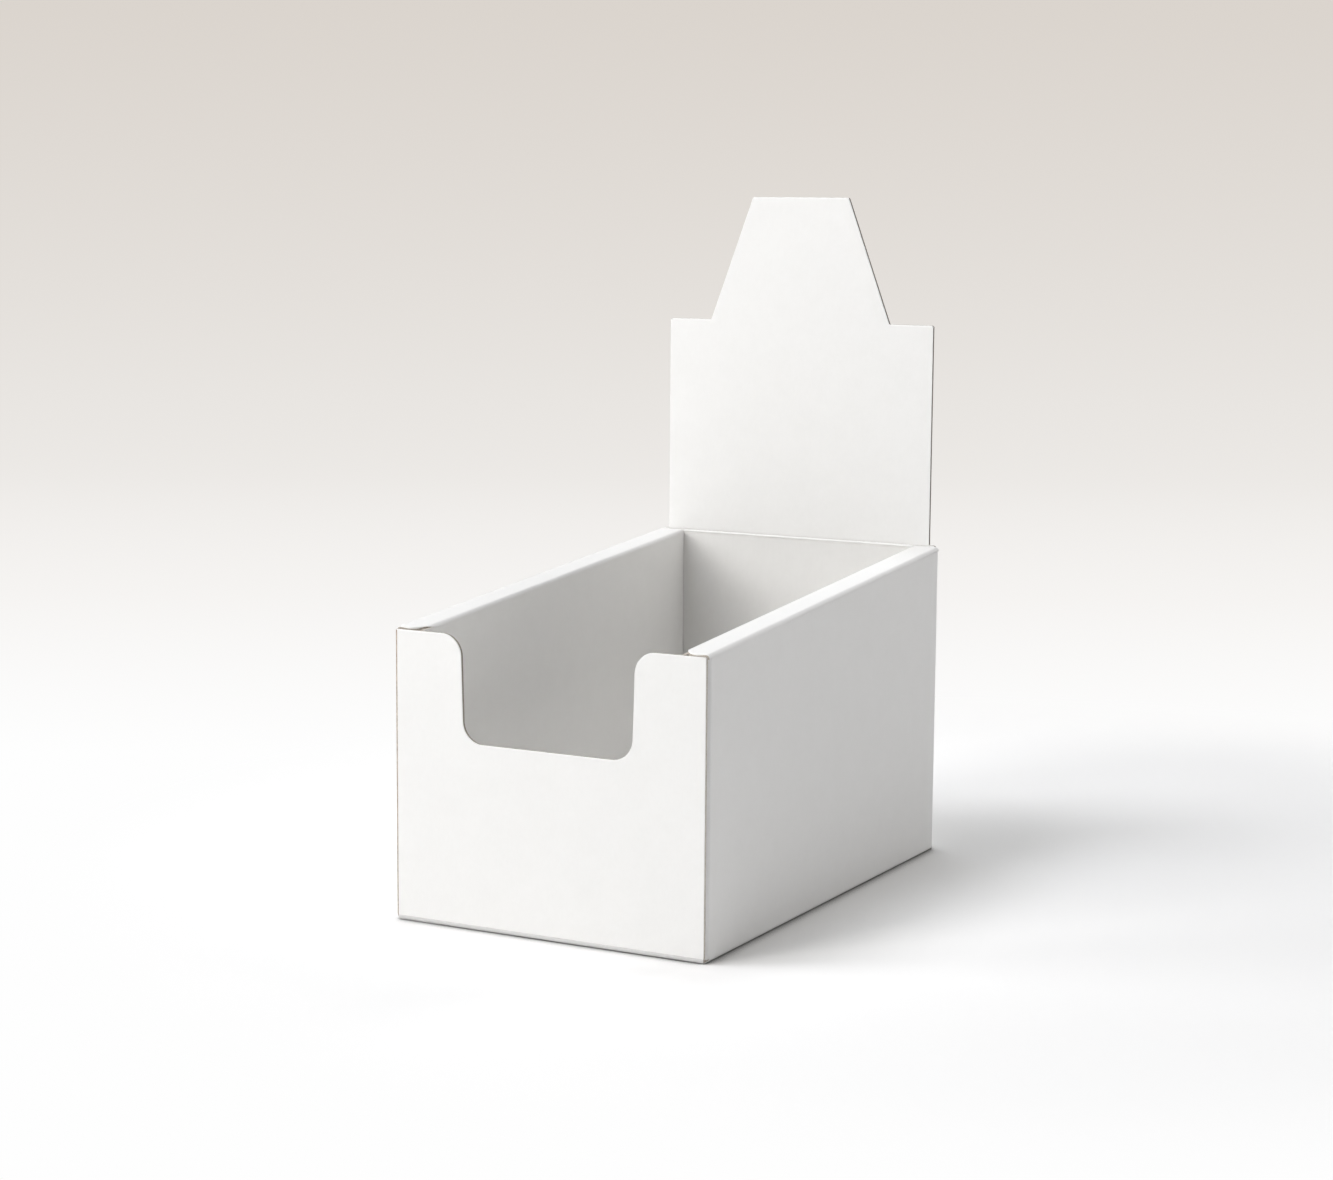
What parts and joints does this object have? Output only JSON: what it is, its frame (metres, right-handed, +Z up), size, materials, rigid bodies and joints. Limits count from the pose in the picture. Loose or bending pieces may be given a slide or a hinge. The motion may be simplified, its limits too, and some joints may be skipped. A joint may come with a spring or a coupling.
{
  "type": "counter display tray with header card",
  "caption": "White folded-board counter display tray with a low U-cut front, hollow roll-over side walls rising to the back and a fold-down header card.",
  "frame": {"origin": "middle of the tray's footprint on the table", "axes": "+Z up, -Y towards the customer at the low front, +Y towards the header card, +X to the right seen from the front"},
  "size_m": [0.13, 0.208, 0.2676],
  "materials": {
    "liner": "matte white paper liner on board, tan at the cut edges",
    "inner_liner": "matte white paper liner inside the tray",
    "fold": "matte white liner, pressed and rounded at the fold",
    "glue": "dried adhesive"
  },
  "bodies": {
    "tray": {"base_panel": "liner", "front_panel": "liner", "back_panel": "liner", "left_side_panel": "liner", "right_side_panel": "liner", "left_rim_strip": "liner", "right_rim_strip": "liner", "left_inner_panel": "inner_liner", "right_inner_panel": "inner_liner", "front_left_flap": "inner_liner", "front_right_flap": "inner_liner", "back_left_flap": "inner_liner", "back_right_flap": "inner_liner", "front_base_fold": "fold", "back_base_fold": "fold", "left_base_fold": "fold", "right_base_fold": "fold", "front_left_corner_fold": "fold", "front_right_corner_fold": "fold", "back_left_corner_fold": "fold", "back_right_corner_fold": "fold", "left_outer_rim_fold": "fold", "right_outer_rim_fold": "fold", "left_inner_rim_fold": "fold", "right_inner_rim_fold": "fold", "header_crease": "fold", "front_glue_lines": "glue", "back_glue_lines": "glue"},
    "header": {"header_panel": "liner"}
  },
  "joints": [
    {"name": "header_fold", "type": "hinge", "parent": "tray", "child": "header", "pos_m": [0, 0.1025, 0.12658], "axis": [1, 0, 0], "range_deg": [0, 94]}
  ]
}
